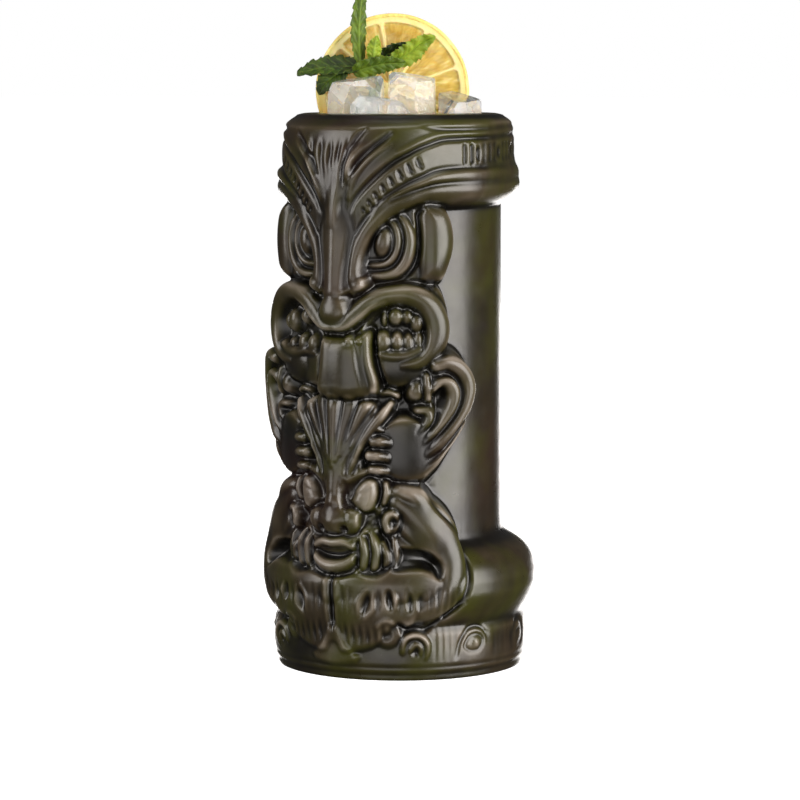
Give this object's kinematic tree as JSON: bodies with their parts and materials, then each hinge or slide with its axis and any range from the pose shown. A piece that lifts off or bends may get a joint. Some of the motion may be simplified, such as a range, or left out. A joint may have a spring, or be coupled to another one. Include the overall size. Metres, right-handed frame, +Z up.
{
  "type": "tiki mug",
  "caption": "Tall glazed drinking mug with stacked carved faces, raised arms and a crouching figure, filled with ice and dressed with a lemon wheel and a mint sprig.",
  "frame": {"origin": "centre of the flat underside of the foot ring, on the mug's axis", "axes": "+Z up along the mug's axis; the carved figure faces -Y; +X is to the right of someone facing the figure"},
  "size_m": [0.0876, 0.0876, 0.2194],
  "materials": {
    "glaze": "glossy dark olive-brown glaze, near black in the carving",
    "ice": "clear ice with white cracks",
    "lemon_peel": "waxy yellow peel",
    "lemon_pith": "matt pale pith and membranes",
    "lemon_flesh": "wet translucent flesh",
    "mint_stem": "smooth green stalk",
    "mint_leaf": "satin green leaf with raised veins"
  },
  "bodies": {
    "mug": {"mug_body": "glaze"},
    "ice_bed": {"ice_bed": "ice"},
    "ice_cube_left": {"ice_cube_left": "ice"},
    "ice_cube_front": {"ice_cube_front": "ice"},
    "ice_cube_middle": {"ice_cube_middle": "ice"},
    "ice_cube_right": {"ice_cube_right": "ice"},
    "ice_cube_back_left": {"ice_cube_back_left": "ice"},
    "ice_cube_back_right": {"ice_cube_back_right": "ice"},
    "lemon_wheel": {"lemon_peel": "lemon_peel", "lemon_pith": "lemon_pith", "lemon_flesh": "lemon_flesh"},
    "mint_sprig": {"mint_stem": "mint_stem", "mint_leaf_tall": "mint_leaf", "mint_leaf_left": "mint_leaf", "mint_leaf_droop": "mint_leaf", "mint_leaf_curl": "mint_leaf", "mint_leaf_dark": "mint_leaf", "mint_leaf_right": "mint_leaf", "mint_leaf_low": "mint_leaf"}
  },
  "joints": [
    {"name": "ice_bed_lift", "type": "slide", "parent": "mug", "child": "ice_bed", "axis": [0, 0, 1], "range_m": [0, 0.11]},
    {"name": "ice_cube_left_lift", "type": "slide", "parent": "ice_bed", "child": "ice_cube_left", "axis": [0, 0, 1], "range_m": [0, 0.05]},
    {"name": "ice_cube_front_lift", "type": "slide", "parent": "ice_bed", "child": "ice_cube_front", "axis": [0, 0, 1], "range_m": [0, 0.05]},
    {"name": "ice_cube_middle_lift", "type": "slide", "parent": "ice_bed", "child": "ice_cube_middle", "axis": [0, 0, 1], "range_m": [0, 0.05]},
    {"name": "ice_cube_right_lift", "type": "slide", "parent": "ice_bed", "child": "ice_cube_right", "axis": [0, 0, 1], "range_m": [0, 0.05]},
    {"name": "ice_cube_back_left_lift", "type": "slide", "parent": "ice_bed", "child": "ice_cube_back_left", "axis": [0, 0, 1], "range_m": [0, 0.05]},
    {"name": "ice_cube_back_right_lift", "type": "slide", "parent": "ice_bed", "child": "ice_cube_back_right", "axis": [0, 0, 1], "range_m": [0, 0.05]},
    {"name": "lemon_wheel_lift", "type": "slide", "parent": "ice_bed", "child": "lemon_wheel", "axis": [0, 0, 1], "range_m": [0, 0.06]},
    {"name": "mint_sprig_lift", "type": "slide", "parent": "ice_bed", "child": "mint_sprig", "axis": [0, 0, 1], "range_m": [0, 0.06]}
  ]
}
